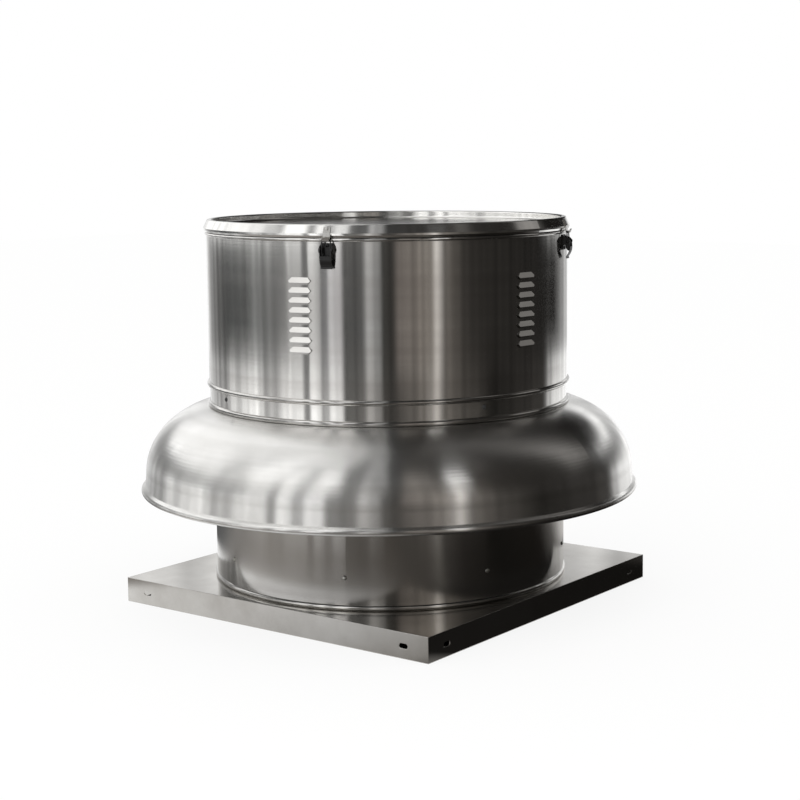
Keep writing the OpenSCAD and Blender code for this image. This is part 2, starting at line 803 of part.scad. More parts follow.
module motor_frame() {
    fin_step = 360 / fin_places;
    color("#4c5a63") difference() {
        union() {
            translate([0, 0, flange_top]) cylinder(r = frame_radius, h = frame_length);
            for (i = [0:fin_places - 1]) let (a = i * fin_step + fin_step / 2)
                if (abs(a > 180 ? a - 360 : a) > 32)
                    rotate([0, 0, a]) translate([frame_radius - 2, -1.3, flange_top + 6])
                        cube([fin_radius - frame_radius + 2, 2.6, frame_length - 22]);
            translate([frame_radius - 20, -box_width / 2 + 6, box_z - box_height / 2 + 6])
                cube([box_back - frame_radius + 20, box_width - 12, box_height - 12]);
        }
        translate([0, 0, flange_top - 1]) cylinder(r = frame_bore, h = frame_length + 2);
        translate([0, 0, box_z]) along_x(12, box_back + 1);
    }
}

module stator_core() {
    color("#77706a") translate([0, 0, core_bottom])
        tube(frame_bore - slip_gap, core_radius + air_gap, core_top - core_bottom);
}

module stator_windings() {
    color("#a5562a") for (end = [[core_bottom, -1], [core_top, 1]])
        translate([0, 0, end[0]]) mirror([0, 0, end[1] > 0 ? 0 : 1])
        rotate_extrude() {
            translate([core_radius + 6, 0]) square([20, 12]);
            translate([core_radius + 16, 12]) circle(r = 9.5);
        }
}

module end_shield() {
    color("#4c5a63") difference() {
        union() {
            translate([0, 0, frame_top]) cylinder(r = shield_radius, h = shield_thick);
            translate([0, 0, frame_top - 6]) cylinder(r = frame_bore - slip_gap, h = 8);
            translate([0, 0, top_bearing[2] - 2]) cylinder(r = top_bearing[0] + 8, h = frame_top - top_bearing[2] + shield_thick + 2);
        }
        translate([0, 0, top_bearing[2] - 5]) cylinder(r = top_bearing[0], h = top_bearing[1] + 5);
        translate([0, 0, frame_top - 10]) cylinder(r = top_seat_radius + 1, h = 60);
        around(4, 45) at(shield_radius - 12, frame_top + shield_thick / 2) along_x(screw_radius, 20);
    }
}

module fan_cowl() {
    bend = 10;
    outer = cowl_radius + cowl_wall;
    path = concat(
        [[outer, frame_top - 12]],
        arc(outer - bend, cowl_top - bend, bend, 0, 90, 8),
        [[14, cowl_top]]
    );
    color("#3f4b53") difference() {
        spun(path, cowl_wall);
        for (ring = [0:3]) let (r = 28 + ring * 16)
            around(8 + 6 * ring) at(r, cowl_top - 5) cylinder(r = 4.6, h = 10);
        around(4, 45) at(shield_radius - 2, frame_top + shield_thick / 2) along_x(screw_radius + screw_gap, 10);
    }
}

module cowl_screws() {
    color("#b5b5b5") around(4, 45) at(shield_radius - 11, frame_top + shield_thick / 2) {
        along_x(screw_radius, cowl_radius + cowl_wall - shield_radius + 12);
        translate([cowl_radius + cowl_wall - shield_radius + 11, 0, 0]) rotate([0, 90, 0]) dome_head(screw_head, screw_head_height);
    }
}

module motor_bolts() {
    color("#b0b0b0") around(4, 45) at(flange_bolt_circle, deck)
        hex_bolt(motor_bolt_radius, motor_bolt_head, motor_bolt_head_height, plate_thick + flange_thick, motor_nut_height);
}

module bearings() {
    color("#c0c0c0") {
        translate([0, 0, low_bearing[2]]) tube(low_bearing[0], seat_radius + running_fit, low_bearing[1]);
        translate([0, 0, top_bearing[2]]) tube(top_bearing[0], top_seat_radius + running_fit, top_bearing[1]);
    }
}

// Places of the four screws in the corners of the terminal box
module box_corners() {
    for (y = [-1, 1], z = [-1, 1])
        translate([0, y * (box_width / 2 - 8), box_z + z * (box_height / 2 - 8)]) children();
}

module terminal_box() {
    color("#4c5a63") difference() {
        union() {
            difference() {
                translate([box_back, -box_width / 2, box_z - box_height / 2])
                    cube([box_out, box_width, box_height]);
                translate([box_back + box_wall, -box_width / 2 + box_wall, box_z - box_height / 2 + box_wall])
                    cube([box_out, box_width - 2 * box_wall, box_height - 2 * box_wall]);
            }
            box_corners() translate([box_back, 0, 0]) along_x(6, box_out);
            for (z = [-12, 0, 12]) translate([box_back, 0, box_z + z]) along_x(4, 14);
        }
        box_corners() translate([box_back + 20, 0, 0]) along_x(screw_radius, box_out);
        translate([box_back + box_out / 2, 0, box_z - box_height / 2 - 1]) cylinder(r = gland_radius, h = box_wall + 2);
    }
}

module terminal_cover() {
    color("#4c5a63") difference() {
        union() {
            translate([box_back + box_out, -box_width / 2, box_z - box_height / 2])
                cube([box_cover, box_width, box_height]);
            translate([box_back + box_out, -box_width / 2 + 16, box_z - box_height / 2 + 16])
                cube([box_cover + 4, box_width - 32, box_height - 32]);
        }
        box_corners() translate([box_back + box_out - 1, 0, 0]) along_x(screw_radius + screw_gap, box_cover + 2);
    }
}

module terminal_screws() {
    color("#b5b5b5") box_corners() {
        translate([box_back + box_out - 20, 0, 0]) along_x(screw_radius, 20 + box_cover + 1);
        translate([box_back + box_out + box_cover, 0, 0]) rotate([0, 90, 0]) dome_head(screw_head, screw_head_height);
    }
}

module cable_gland() {
    color("#2a2a2a") translate([box_back + box_out / 2, 0, box_z - box_height / 2]) difference() {
        union() {
            translate([0, 0, -1]) cylinder(r = gland_radius, h = box_wall + 8);
            translate([0, 0, box_wall]) hexagon(gland_radius + 3, 5);
            translate([0, 0, -8]) cylinder(r = gland_radius + 3, h = 8, $fn = 6);
            translate([0, 0, -20]) cylinder(r1 = gland_radius - 2, r2 = gland_radius + 1, h = 12);
        }
        translate([0, 0, -21]) cylinder(r = gland_radius - 5, h = 60);
    }
}

module shaft() {
    low_seat = low_bearing[2] - 1;
    color("#9c9c9c") difference() {
        union() {
            translate([0, 0, shaft_end]) cylinder(r = shaft_radius, h = low_seat - shaft_end);
            translate([0, 0, low_seat]) cylinder(r = seat_radius, h = low_bearing[1] + 2);
            translate([0, 0, low_seat + low_bearing[1] + 1])
                cylinder(r = core_shaft_radius, h = top_bearing[2] - 3 - low_seat - low_bearing[1] - 1);
            translate([0, 0, top_bearing[2] - 3]) cylinder(r = top_seat_radius, h = top_bearing[1] + 6);
            translate([0, 0, top_bearing[2] + top_bearing[1]])
                cylinder(r = fan_seat_radius, h = fan_bottom + fan_height - top_bearing[2] - top_bearing[1]);
        }
        key_box(0);
        translate([0, 0, shaft_end - 1]) cylinder(r = bolt_radius, h = 28);
    }
}

// The key's block, at the drive end of the shaft
module key_box(grow) {
    translate([shaft_radius - 4, -4 - grow, shaft_end + 8]) cube([7 + grow, 8 + 2 * grow, 40]);
}

module shaft_key() {
    color("#8a8a8a") key_box(0);
}

module rotor_core() {
    color("#7c7c7c") translate([0, 0, core_bottom]) difference() {
        union() {
            cylinder(r = core_radius, h = core_top - core_bottom);
            translate([0, 0, -8]) cylinder(r = core_radius - 4, h = core_top - core_bottom + 16);
        }
        translate([0, 0, -9]) cylinder(r = core_shaft_radius, h = core_top - core_bottom + 18);
    }
}

module cooling_fan() {
    tip = shield_radius - 16;
    color("#1f1f1f") translate([0, 0, fan_bottom]) difference() {
        union() {
            cylinder(r = fan_seat_radius + 8, h = fan_height);
            cylinder(r = tip, h = 3);
            for (i = [0:7]) rotate([0, 0, i * 45])
                translate([fan_seat_radius + 4, -1.5, 0]) cube([tip - fan_seat_radius - 5, 3, fan_height]);
        }
        translate([0, 0, -1]) cylinder(r = fan_seat_radius, h = fan_height + 2);
    }
}

module impeller_hub() {
    bottom = back_bottom - hub_flange_thick;
    color("#8e8e8e") difference() {
        union() {
            translate([0, 0, bottom]) cylinder(r = hub_flange, h = hub_flange_thick);
            translate([0, 0, shaft_end - 4]) cylinder(r = hub_boss, h = hub_top - shaft_end + 4);
        }
        translate([0, 0, shaft_end - 5]) cylinder(r = shaft_radius, h = 100);
        key_box(0);
        around(hub_bolt_count) at(hub_bolt_circle, bottom - 1)
            cylinder(r = bolt_radius, h = hub_flange_thick + 2);
    }
}

module hub_screw() {
    seat = shaft_end - 4;
    color("#b0b0b0") {
        translate([0, 0, seat - washer_thick]) cylinder(r = hub_boss - 6, h = washer_thick);
        translate([0, 0, seat - washer_thick - bolt_head_height]) hexagon(bolt_head, bolt_head_height);
        translate([0, 0, seat - washer_thick - 1]) cylinder(r = bolt_radius, h = 26);
    }
}

module hub_bolts() {
    color("#b0b0b0") around(hub_bolt_count) at(hub_bolt_circle, back_bottom - hub_flange_thick)
        hex_bolt(bolt_radius, bolt_head, bolt_head_height, hub_flange_thick + impeller_sheet, nut_height - 2);
}

module impeller_back() {
    color("#a3a3a3") translate([0, 0, back_bottom]) difference() {
        cylinder(r = impeller_radius, h = impeller_sheet);
        translate([0, 0, -1]) cylinder(r = hub_boss, h = impeller_sheet + 2);
        around(hub_bolt_count) at(hub_bolt_circle, -1) cylinder(r = bolt_radius, h = impeller_sheet + 2);
    }
}

// Skin of the shroud that faces the blades, from the eye outwards
function shroud_path() = concat(
    [[eye_radius, eye_bottom]],
    arc(eye_radius + shroud_curve, shroud_centre_z, shroud_curve, 180, 90 + shroud_tilt, 14),
    [[impeller_radius, shroud_edge]]
);

module impeller_shroud() {
    path = shroud_path();
    // the metal lies on the path's right, away from the blades
    color("#a3a3a3") rotate_extrude() polygon(sheet_outline([for (i = [len(path) - 1:-1:0]) path[i]], impeller_sheet));
}

module impeller_blades() {
    path = shroud_path();
    color("#a3a3a3") intersection() {
        around(blade_count) intersection() {
            translate([blade_centre, 0, eye_bottom])
                tube(blade_curve + blade_thick / 2, blade_curve - blade_thick / 2, back_bottom - eye_bottom);
            translate([0, 0, eye_bottom]) tube(blade_tip, blade_root, back_bottom - eye_bottom);
            translate([-blade_tip, 0, eye_bottom]) cube([2 * blade_tip, blade_tip, back_bottom - eye_bottom]);
        }
        rotate_extrude() polygon(concat(
            [for (i = [1:len(path) - 1]) path[i] + [-0.02, 0.1]],
            [[impeller_radius + 1, back_bottom], [eye_radius + 1, back_bottom]]
        ));
    }
}

curb_cap();
base_drum();
foot_rivets();
inlet_cone();
cone_screws();
struts();
strut_screws();
strut_bolts();
bell();
motor_plate();
motor_housing();
collar_screws();
lid();
lid_gasket();
latch_bases();
latch_rivets();
lever_pins();
keepers();
place_lever(1);  // lever_1
place_lever(2);  // lever_2
place_lever(3);  // lever_3
place_lever(4);  // lever_4
place_bail(1);  // bail_1
place_bail(2);  // bail_2
place_bail(3);  // bail_3
place_bail(4);  // bail_4
motor_flange();
motor_frame();
stator_core();
stator_windings();
end_shield();
fan_cowl();
cowl_screws();
motor_bolts();
bearings();
terminal_box();
terminal_cover();
terminal_screws();
cable_gland();
shaft();
rotor_core();
cooling_fan();
impeller_hub();
shaft_key();
hub_screw();
hub_bolts();
impeller_back();
impeller_blades();
impeller_shroud();
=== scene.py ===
# Centrifugal roof fan: stainless drums, bell and lid on a curb cap, round a galvanised fan wheel and motor
import json
import math
import bpy
from mathutils import Euler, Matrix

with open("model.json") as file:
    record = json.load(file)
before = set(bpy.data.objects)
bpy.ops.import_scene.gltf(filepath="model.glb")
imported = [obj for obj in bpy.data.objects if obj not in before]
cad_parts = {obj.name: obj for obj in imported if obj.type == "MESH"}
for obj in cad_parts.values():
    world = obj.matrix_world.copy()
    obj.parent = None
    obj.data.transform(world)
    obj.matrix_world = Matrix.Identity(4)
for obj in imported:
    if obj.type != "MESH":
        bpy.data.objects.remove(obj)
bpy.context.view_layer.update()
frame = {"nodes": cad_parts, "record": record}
nodes = frame["nodes"]
print("frame:", len(nodes), "nodes")


def hexToLinear(code):
    values = [int(code[i:i + 2], 16) / 255 for i in (1, 3, 5)]
    return tuple(v / 12.92 if v <= 0.04045 else ((v + 0.055) / 1.055) ** 2.4 for v in values) + (1.0,)


def addNode(tree, kind, settings=None, links=None, stops=()):
    # settings go to the node or its sockets, stops to its colour ramp, and its outputs come back
    node = tree.nodes.new(kind)
    for name, value in (settings or {}).items():
        if isinstance(name, str) and hasattr(node, name):
            setattr(node, name, value)
        else:
            node.inputs[name].default_value = value
    for name, source in (links or {}).items():
        tree.links.new(source, node.inputs[name])
    for count, (position, code) in enumerate(stops):
        elements = node.color_ramp.elements
        element = elements[count] if count < 2 else elements.new(position)  # a new ramp has two
        element.position = position
        element.color = hexToLinear(code)
    return node.outputs


def startMaterial(name):
    material = bpy.data.materials.new(name)
    material.use_nodes = True
    tree = material.node_tree
    tree.nodes.clear()
    return material, tree, addNode(tree, "ShaderNodeTexCoord")["Object"]


def endMaterial(tree, settings, links):
    shader = addNode(tree, "ShaderNodeBsdfPrincipled", settings, links)
    addNode(tree, "ShaderNodeOutputMaterial", {}, {"Surface": shader["BSDF"]})


# Stainless sheet, spun on a lathe: fine lines run round the part and draw reflections out up and down, with
# faint bands, stains and a slow unevenness. Real lines are too fine to show, so they are drawn at 1.6 mm.
# Spacings and depths are in metres, here and in all finishes below.
spinning = {
    "lineSpacing": 0.0016, "lineDetail": 3.0, "lineDepth": 0.00002,
    "lineTurn": 0.25,  # a quarter turn, so that reflections spread across the lines
    "bandSpacing": 0.03, "bandDetail": 2.0,
    "stainsPerMetre": 9.0, "stainDetail": 5.0, "stainRoughness": 0.6, "toneLow": 0.12, "toneHigh": 0.4,
    "waveSpacing": 0.3, "waveDetail": 1.0, "waveDepth": 0.0004, "waveStretch": 0.25,
}
spunSheets = {
    # drums and inlet as they come off the lathe; their tones are painted darker than the bell's, a painted
    # shade for their dimmer reflections
    "spun_sheet": {
        "name": "spunStainlessPaintedShade", "light": "#D0CFCC", "dark": "#C3C1BE",
        "roughLow": 0.11, "roughHigh": 0.15, "anisotropy": 0.9,
    },
    # the bell is ground over once more, with a wider spread across the lines; its tones are painted lighter
    # than the drums', a painted light for its brighter reflections
    "bell": {
        "name": "groundStainlessPaintedLight", "light": "#E6E5E3", "dark": "#D8D7D4",
        "roughLow": 0.21, "roughHigh": 0.25, "anisotropy": 1.0,
    },
    # the lid is polished, with the drums' sharp reflections; its tones are painted lightest of all, a painted
    # light for its bright reflections
    "lid": {
        "name": "polishedStainlessPaintedLight", "light": "#ECEBE9", "dark": "#E0DFDC",
        "roughLow": 0.11, "roughHigh": 0.15, "anisotropy": 0.9,
    },
}


def makeSpunSheet(setup, marks):
    material, tree, place = startMaterial(setup["name"])
    # distance from the shaft and height, as a vector: the same all round a spun part
    parts = addNode(tree, "ShaderNodeSeparateXYZ", {}, {"Vector": place})
    flat = addNode(tree, "ShaderNodeCombineXYZ", {}, {"X": parts["X"], "Y": parts["Y"]})
    reach = addNode(tree, "ShaderNodeVectorMath", {"operation": "LENGTH"}, {0: flat["Vector"]})
    ring = addNode(tree, "ShaderNodeCombineXYZ", {}, {"X": reach["Value"], "Y": parts["Z"]})
    lines = addNode(tree, "ShaderNodeTexNoise", {
        "noise_dimensions": "2D", "Scale": 1 / marks["lineSpacing"], "Detail": marks["lineDetail"],
    }, {"Vector": ring["Vector"]})
    bands = addNode(tree, "ShaderNodeTexNoise", {
        "noise_dimensions": "2D", "Scale": 1 / marks["bandSpacing"], "Detail": marks["bandDetail"],
    }, {"Vector": ring["Vector"]})
    stains = addNode(tree, "ShaderNodeTexNoise", {
        "Scale": marks["stainsPerMetre"], "Detail": marks["stainDetail"],
        "Roughness": marks["stainRoughness"],
    }, {"Vector": place})
    both = addNode(tree, "ShaderNodeMath", {"operation": "MULTIPLY"}, {0: bands["Fac"], 1: stains["Fac"]})
    tone = addNode(tree, "ShaderNodeMapRange", {
        "From Min": marks["toneLow"], "From Max": marks["toneHigh"],
    }, {"Value": both["Value"]})
    # stains between each part's dark and light tones, which also carry that part's painted light or shade
    colour = addNode(tree, "ShaderNodeValToRGB", {}, {"Fac": tone["Result"]},
                     [(0.0, setup["dark"]), (1.0, setup["light"])])
    rough = addNode(tree, "ShaderNodeMapRange", {
        "To Min": setup["roughHigh"], "To Max": setup["roughLow"],
    }, {"Value": tone["Result"]})
    stretch = addNode(tree, "ShaderNodeMapping", {
        "Scale": (1.0, 1.0, marks["waveStretch"]),
    }, {"Vector": place})
    waves = addNode(tree, "ShaderNodeTexNoise", {
        "Scale": 1 / marks["waveSpacing"], "Detail": marks["waveDetail"],
    }, {"Vector": stretch["Vector"]})
    slow = addNode(tree, "ShaderNodeBump", {"Distance": marks["waveDepth"]}, {"Height": waves["Fac"]})
    fine = addNode(tree, "ShaderNodeBump", {"Distance": marks["lineDepth"]},
                   {"Height": lines["Fac"], "Normal": slow["Normal"]})
    around = addNode(tree, "ShaderNodeTangent", {"direction_type": "RADIAL", "axis": "Z"})
    endMaterial(tree, {
        "Metallic": 1.0, "Anisotropic": setup["anisotropy"], "Anisotropic Rotation": marks["lineTurn"],
    }, {
        "Base Color": colour["Color"], "Roughness": rough["Result"], "Normal": fine["Normal"],
        "Tangent": around["Tangent"],
    })
    return material


# Cold-rolled stainless sheet of the curb cap, cut and folded: satin, with straight rolling lines and
# handling marks. Real rolling lines are too fine to show, so they are drawn at 2 mm.
rolledSheet = {
    "name": "rolledStainless", "light": "#CECCC8", "dark": "#B6B3AE", "roughLow": 0.13, "roughHigh": 0.2,
    "lineSpacing": 0.002, "lineStretch": 0.02, "lineDetail": 3.0, "lineDepth": 0.00001,
    "marksPerMetre": 7.0, "markDetail": 6.0, "markRoughness": 0.62, "markLow": 0.3, "markHigh": 0.7,
    "bend": 0.0015, "bendSamples": 6,
}


def makeRolledSheet(setup):
    material, tree, place = startMaterial(setup["name"])
    stretch = addNode(tree, "ShaderNodeMapping", {
        "Scale": (setup["lineStretch"], 1.0, 1.0),
    }, {"Vector": place})
    lines = addNode(tree, "ShaderNodeTexNoise", {
        "Scale": 1 / setup["lineSpacing"], "Detail": setup["lineDetail"],
    }, {"Vector": stretch["Vector"]})
    marks = addNode(tree, "ShaderNodeTexNoise", {
        "Scale": setup["marksPerMetre"], "Detail": setup["markDetail"], "Roughness": setup["markRoughness"],
    }, {"Vector": place})
    colour = addNode(tree, "ShaderNodeValToRGB", {}, {"Fac": marks["Fac"]},
                     [(setup["markLow"], setup["dark"]), (setup["markHigh"], setup["light"])])
    rough = addNode(tree, "ShaderNodeMapRange", {
        "To Min": setup["roughHigh"], "To Max": setup["roughLow"],
    }, {"Value": marks["Fac"]})
    # the sheet is folded, so its edges are small bends that catch the light
    bend = addNode(tree, "ShaderNodeBevel", {"samples": setup["bendSamples"], "Radius": setup["bend"]})
    bump = addNode(tree, "ShaderNodeBump", {"Distance": setup["lineDepth"]},
                   {"Height": lines["Fac"], "Normal": bend["Normal"]})
    endMaterial(tree, {"Metallic": 1.0}, {
        "Base Color": colour["Color"], "Roughness": rough["Result"], "Normal": bump["Normal"],
    })
    return material


# Hot-dip galvanised sheet of struts, motor plate and fan wheel: grey, with the zinc's flat crystal flakes
zincSheet = {
    "name": "galvanisedSheet", "light": "#B4B8BA", "dark": "#8E9396", "roughLow": 0.34, "roughHigh": 0.5,
    "flake": 0.012,
}


def makeZincSheet(setup):
    material, tree, place = startMaterial(setup["name"])
    flakes = addNode(tree, "ShaderNodeTexVoronoi", {"Scale": 1 / setup["flake"]}, {"Vector": place})
    tone = addNode(tree, "ShaderNodeSeparateColor", {}, {"Color": flakes["Color"]})
    colour = addNode(tree, "ShaderNodeValToRGB", {}, {"Fac": tone["Red"]},
                     [(0.0, setup["dark"]), (1.0, setup["light"])])
    rough = addNode(tree, "ShaderNodeMapRange", {
        "To Min": setup["roughLow"], "To Max": setup["roughHigh"],
    }, {"Value": tone["Green"]})
    endMaterial(tree, {"Metallic": 1.0}, {"Base Color": colour["Color"], "Roughness": rough["Result"]})
    return material


# Plain metal pieces, with a grain that is drawn at 1 to 3 mm to show and soft marks from handling
metalMarks = {"grainDetail": 3.0, "marksPerMetre": 40.0, "markDetail": 4.0, "markLow": 0.3, "markHigh": 0.7}
plainMetals = {
    # zinc-plated screws, bolts and rivets: pale grey with a soft shine
    "fastener": {
        "name": "zincPlatedSteel", "light": "#C3C3BF", "dark": "#98978F",
        "roughLow": 0.25, "roughHigh": 0.42, "grain": 0.002, "depth": 0.00003,
    },
    # pressed stainless keepers, tumbled smooth: bright
    "keeper_steel": {
        "name": "tumbledStainless", "light": "#D6D5D2", "dark": "#B5B3AF",
        "roughLow": 0.16, "roughHigh": 0.28, "grain": 0.002, "depth": 0.00001,
    },
    # ground bearing rings: the smoothest and brightest of these
    "bearing_steel": {
        "name": "groundBearingSteel", "light": "#CFCFCF", "dark": "#B6B6B6",
        "roughLow": 0.12, "roughHigh": 0.2, "grain": 0.001, "depth": 0.00001,
    },
    # turned shaft and its key: grey and fairly smooth
    "shaft_steel": {
        "name": "turnedSteel", "light": "#BDBDBB", "dark": "#96958F",
        "roughLow": 0.24, "roughHigh": 0.36, "grain": 0.001, "depth": 0.00002,
    },
    # stacked electrical sheet of stator and rotor: dark and dull
    "core_steel": {
        "name": "stackedCoreSteel", "light": "#6F6C69", "dark": "#4B4846",
        "roughLow": 0.42, "roughHigh": 0.6, "grain": 0.001, "depth": 0.00006,
    },
    # sand-cast hub of the fan wheel: dark, with the coarsest grain
    "hub_iron": {
        "name": "castIron", "light": "#7E7C79", "dark": "#595754",
        "roughLow": 0.4, "roughHigh": 0.58, "grain": 0.003, "depth": 0.0001,
    },
}


def makePlainMetal(setup, shared):
    material, tree, place = startMaterial(setup["name"])
    grain = addNode(tree, "ShaderNodeTexNoise", {
        "Scale": 1 / setup["grain"], "Detail": shared["grainDetail"],
    }, {"Vector": place})
    marks = addNode(tree, "ShaderNodeTexNoise", {
        "Scale": shared["marksPerMetre"], "Detail": shared["markDetail"],
    }, {"Vector": place})
    colour = addNode(tree, "ShaderNodeValToRGB", {}, {"Fac": marks["Fac"]},
                     [(shared["markLow"], setup["dark"]), (shared["markHigh"], setup["light"])])
    rough = addNode(tree, "ShaderNodeMapRange", {
        "To Min": setup["roughHigh"], "To Max": setup["roughLow"],
    }, {"Value": marks["Fac"]})
    bump = addNode(tree, "ShaderNodeBump", {"Distance": setup["depth"]}, {"Height": grain["Fac"]})
    endMaterial(tree, {"Metallic": 1.0}, {
        "Base Color": colour["Color"], "Roughness": rough["Result"], "Normal": bump["Normal"],
    })
    return material


# Paints, plastics, rubber and varnish: no metal in the surface, a slight grain and a little dust
coatMarks = {
    "grainDetail": 2.0, "dustPerMetre": 14.0, "dustDetail": 5.0, "dustLow": 0.35, "dustHigh": 0.7,
    "roughSpread": 0.15,
}
coatings = {
    # blackened steel screws of the collar: near black with a soft shine
    "dark_screw": {
        "name": "blackenedSteel", "light": "#3A3A3A", "dark": "#262626",
        "rough": 0.35, "ior": 1.5, "grain": 0.002, "depth": 0.00003,
    },
    # powder-coated latches: deep black with a fine orange peel
    "latch_black": {
        "name": "blackPowderCoat", "light": "#121212", "dark": "#0A0A0A",
        "rough": 0.36, "ior": 1.5, "grain": 0.0015, "depth": 0.00004,
    },
    # lacquered wire of the bails: black and a little smoother
    "bail_wire": {
        "name": "blackLacquer", "light": "#232323", "dark": "#161616",
        "rough": 0.3, "ior": 1.5, "grain": 0.002, "depth": 0.00002,
    },
    # foamed rubber gasket under the lid: black and dull
    "seal_rubber": {
        "name": "foamedRubber", "light": "#1B1B1B", "dark": "#101010",
        "rough": 0.85, "ior": 1.52, "grain": 0.001, "depth": 0.0002,
    },
    # sprayed enamel on the motor's castings: blue-grey, half gloss
    "motor_paint": {
        "name": "greyEnamel", "light": "#4E5D66", "dark": "#414E56",
        "rough": 0.42, "ior": 1.5, "grain": 0.003, "depth": 0.0001,
    },
    # the same enamel on the pressed cowl: darker and smoother
    "cowl_paint": {
        "name": "darkGreyEnamel", "light": "#404C54", "dark": "#353F46",
        "rough": 0.38, "ior": 1.5, "grain": 0.003, "depth": 0.00006,
    },
    # copper wire under clear varnish: red-brown and glossy, uneven like the wound wire
    "copper_windings": {
        "name": "varnishedCopper", "light": "#A9562A", "dark": "#6E3216",
        "rough": 0.3, "ior": 1.55, "grain": 0.0025, "depth": 0.0006,
    },
    # moulded polyamide cable gland: black, half matt
    "gland_plastic": {
        "name": "mouldedPolyamide", "light": "#262626", "dark": "#1A1A1A",
        "rough": 0.5, "ior": 1.53, "grain": 0.0012, "depth": 0.00004,
    },
    # moulded cooling fan of glass-filled polyamide: black, a little duller
    "fan_plastic": {
        "name": "filledPolyamide", "light": "#242424", "dark": "#191919",
        "rough": 0.55, "ior": 1.53, "grain": 0.0015, "depth": 0.00004,
    },
}


def makeCoating(setup, shared):
    material, tree, place = startMaterial(setup["name"])
    grain = addNode(tree, "ShaderNodeTexNoise", {
        "Scale": 1 / setup["grain"], "Detail": shared["grainDetail"],
    }, {"Vector": place})
    dust = addNode(tree, "ShaderNodeTexNoise", {
        "Scale": shared["dustPerMetre"], "Detail": shared["dustDetail"],
    }, {"Vector": place})
    colour = addNode(tree, "ShaderNodeValToRGB", {}, {"Fac": dust["Fac"]},
                     [(shared["dustLow"], setup["dark"]), (shared["dustHigh"], setup["light"])])
    rough = addNode(tree, "ShaderNodeMapRange", {
        "To Min": setup["rough"] * (1 - shared["roughSpread"]),
        "To Max": setup["rough"] * (1 + shared["roughSpread"]),
    }, {"Value": dust["Fac"]})
    bump = addNode(tree, "ShaderNodeBump", {"Distance": setup["depth"]}, {"Height": grain["Fac"]})
    endMaterial(tree, {"IOR": setup["ior"]}, {
        "Base Color": colour["Color"], "Roughness": rough["Result"], "Normal": bump["Normal"],
    })
    return material


finishes = {"satin_sheet": makeRolledSheet(rolledSheet)}
finishes.update({slot: makeSpunSheet(setup, spinning) for slot, setup in spunSheets.items()})
finishes.update(dict.fromkeys(["plain_steel", "impeller_sheet"], makeZincSheet(zincSheet)))
finishes.update({slot: makePlainMetal(setup, metalMarks) for slot, setup in plainMetals.items()})
finishes.update({slot: makeCoating(setup, coatMarks) for slot, setup in coatings.items()})
print("finishes:", len(finishes))

# The bell and the lid have a finish of their own, every other node has that of its slot
for entry in frame["record"]["subparts"]:
    mesh = nodes[entry["node"]].data
    mesh.materials.clear()
    mesh.materials.append(finishes.get(entry["node"], finishes[entry["material_slot"]]))
print("finishes given to the CAD nodes")

# Camera as fitted to the photograph, looking down a little on one corner of the curb cap; its distance is
# measured level from the shaft, and the angles are in degrees
cameraSetup = {
    "distance": 3.3363, "azimuth": -51.82, "height": 0.864, "tilt": 83.084, "bank": 0.478, "heading": 36.388,
    "lens": 76.85, "sensor": 36.0, "shiftX": -0.05, "shiftY": -0.05,
}


def makeCamera(setup):
    data = bpy.data.cameras.new("photoCamera")
    data.lens = setup["lens"]
    data.sensor_width = setup["sensor"]
    data.shift_x = setup["shiftX"]
    data.shift_y = setup["shiftY"]
    camera = bpy.data.objects.new("photoCamera", data)
    bpy.context.scene.collection.objects.link(camera)
    side = math.radians(setup["azimuth"])
    camera.location = (
        setup["distance"] * math.cos(side), setup["distance"] * math.sin(side), setup["height"],
    )
    camera.rotation_euler = Euler([math.radians(setup[key]) for key in ("tilt", "bank", "heading")])
    bpy.context.scene.camera = camera


makeCamera(cameraSetup)
print("camera ready")

# Plain white floor, with painted shade: no light gets under the curb cap, so inside the cap's square the
# floor is painted near black and does not glow
floorSetup = {"size": 24.0, "colour": "#FAFAF9", "glow": 0.85, "paintedShadeColour": "#070707", "paintedShadeHalf": 0.365}


